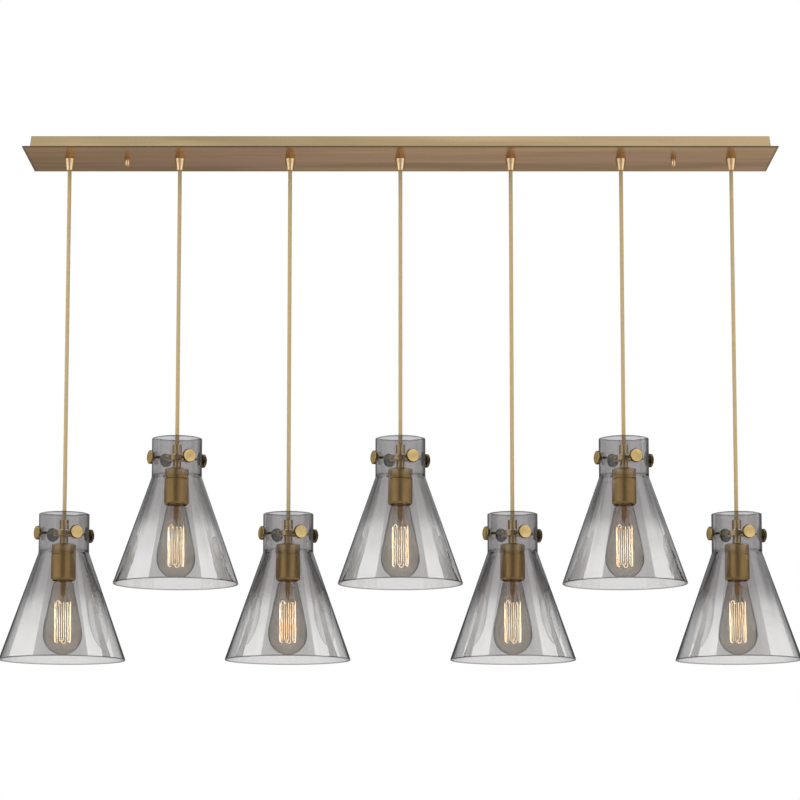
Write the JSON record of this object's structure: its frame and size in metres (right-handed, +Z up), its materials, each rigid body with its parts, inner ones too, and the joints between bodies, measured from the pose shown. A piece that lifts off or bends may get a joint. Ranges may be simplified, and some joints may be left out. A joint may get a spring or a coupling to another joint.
{
  "type": "linear pendant light",
  "caption": "Long brass ceiling canopy with a staggered row of smoked glass cone shades on cords, each held by thumb screws round a lamp socket and a caged filament bulb.",
  "frame": {"origin": "on the ceiling plane, at the middle of the mounting strap's upper face", "axes": "+Z up into the ceiling, +X along the row of pendants, -Y to the front"},
  "size_m": [1.288, 0.202, 0.8455],
  "materials": {
    "brushed_brass": "satin brushed",
    "smoked_glass": "smoked and lightly plated, glossy",
    "cord_cloth": "fine woven jacket",
    "zinc_steel": "zinc plated",
    "black_insulator": "matt",
    "bulb_glass": "clear, warm",
    "lead_insulation": "matt"
  },
  "bodies": {
    "canopy": {"canopy_plate": "brushed_brass", "canopy_wall": "brushed_brass", "mounting_strap": "zinc_steel", "strap_studs": "zinc_steel", "stud_nuts": "zinc_steel", "canopy_thumb_nuts": "brushed_brass", "cord_grips": "brushed_brass", "grip_nuts": "zinc_steel", "terminal_block": "black_insulator", "inner_leads": "lead_insulation", "earth_screw": "zinc_steel"},
    "cord_1": {"cord_1": "cord_cloth"},
    "head_1": {"hub_1": "brushed_brass", "thumb_screws_1": "brushed_brass", "socket_cover_1": "brushed_brass", "lampholder_1": "black_insulator", "bulb_1": "bulb_glass", "shade_1": "smoked_glass"},
    "cord_2": {"cord_2": "cord_cloth"},
    "head_2": {"hub_2": "brushed_brass", "thumb_screws_2": "brushed_brass", "socket_cover_2": "brushed_brass", "lampholder_2": "black_insulator", "bulb_2": "bulb_glass", "shade_2": "smoked_glass"},
    "cord_3": {"cord_3": "cord_cloth"},
    "head_3": {"hub_3": "brushed_brass", "thumb_screws_3": "brushed_brass", "socket_cover_3": "brushed_brass", "lampholder_3": "black_insulator", "bulb_3": "bulb_glass", "shade_3": "smoked_glass"},
    "cord_4": {"cord_4": "cord_cloth"},
    "head_4": {"hub_4": "brushed_brass", "thumb_screws_4": "brushed_brass", "socket_cover_4": "brushed_brass", "lampholder_4": "black_insulator", "bulb_4": "bulb_glass", "shade_4": "smoked_glass"},
    "cord_5": {"cord_5": "cord_cloth"},
    "head_5": {"hub_5": "brushed_brass", "thumb_screws_5": "brushed_brass", "socket_cover_5": "brushed_brass", "lampholder_5": "black_insulator", "bulb_5": "bulb_glass", "shade_5": "smoked_glass"},
    "cord_6": {"cord_6": "cord_cloth"},
    "head_6": {"hub_6": "brushed_brass", "thumb_screws_6": "brushed_brass", "socket_cover_6": "brushed_brass", "lampholder_6": "black_insulator", "bulb_6": "bulb_glass", "shade_6": "smoked_glass"},
    "cord_7": {"cord_7": "cord_cloth"},
    "head_7": {"hub_7": "brushed_brass", "thumb_screws_7": "brushed_brass", "socket_cover_7": "brushed_brass", "lampholder_7": "black_insulator", "bulb_7": "bulb_glass", "shade_7": "smoked_glass"}
  },
  "joints": [
    {"name": "swing_1", "type": "hinge", "parent": "canopy", "child": "cord_1", "pos_m": [-0.54302, 0, -0.0413], "axis": [1, 0, 0], "range_deg": [-20, 20]},
    {"name": "height_1", "type": "slide", "parent": "cord_1", "child": "head_1", "axis": [0, 0, 1], "range_m": [0, 0.05], "deforming": ["cord_1"]},
    {"name": "swing_2", "type": "hinge", "parent": "canopy", "child": "cord_2", "pos_m": [-0.36201, 0, -0.0413], "axis": [1, 0, 0], "range_deg": [-20, 20]},
    {"name": "height_2", "type": "slide", "parent": "cord_2", "child": "head_2", "axis": [0, 0, 1], "range_m": [0, 0.2], "deforming": ["cord_2"]},
    {"name": "swing_3", "type": "hinge", "parent": "canopy", "child": "cord_3", "pos_m": [-0.181, 0, -0.0413], "axis": [1, 0, 0], "range_deg": [-20, 20]},
    {"name": "height_3", "type": "slide", "parent": "cord_3", "child": "head_3", "axis": [0, 0, 1], "range_m": [0, 0.05], "deforming": ["cord_3"]},
    {"name": "swing_4", "type": "hinge", "parent": "canopy", "child": "cord_4", "pos_m": [0, 0, -0.0413], "axis": [1, 0, 0], "range_deg": [-20, 20]},
    {"name": "height_4", "type": "slide", "parent": "cord_4", "child": "head_4", "axis": [0, 0, 1], "range_m": [0, 0.2], "deforming": ["cord_4"]},
    {"name": "swing_5", "type": "hinge", "parent": "canopy", "child": "cord_5", "pos_m": [0.181, 0, -0.0413], "axis": [1, 0, 0], "range_deg": [-20, 20]},
    {"name": "height_5", "type": "slide", "parent": "cord_5", "child": "head_5", "axis": [0, 0, 1], "range_m": [0, 0.05], "deforming": ["cord_5"]},
    {"name": "swing_6", "type": "hinge", "parent": "canopy", "child": "cord_6", "pos_m": [0.36201, 0, -0.0413], "axis": [1, 0, 0], "range_deg": [-20, 20]},
    {"name": "height_6", "type": "slide", "parent": "cord_6", "child": "head_6", "axis": [0, 0, 1], "range_m": [0, 0.2], "deforming": ["cord_6"]},
    {"name": "swing_7", "type": "hinge", "parent": "canopy", "child": "cord_7", "pos_m": [0.54302, 0, -0.0413], "axis": [1, 0, 0], "range_deg": [-20, 20]},
    {"name": "height_7", "type": "slide", "parent": "cord_7", "child": "head_7", "axis": [0, 0, 1], "range_m": [0, 0.05], "deforming": ["cord_7"]}
  ]
}
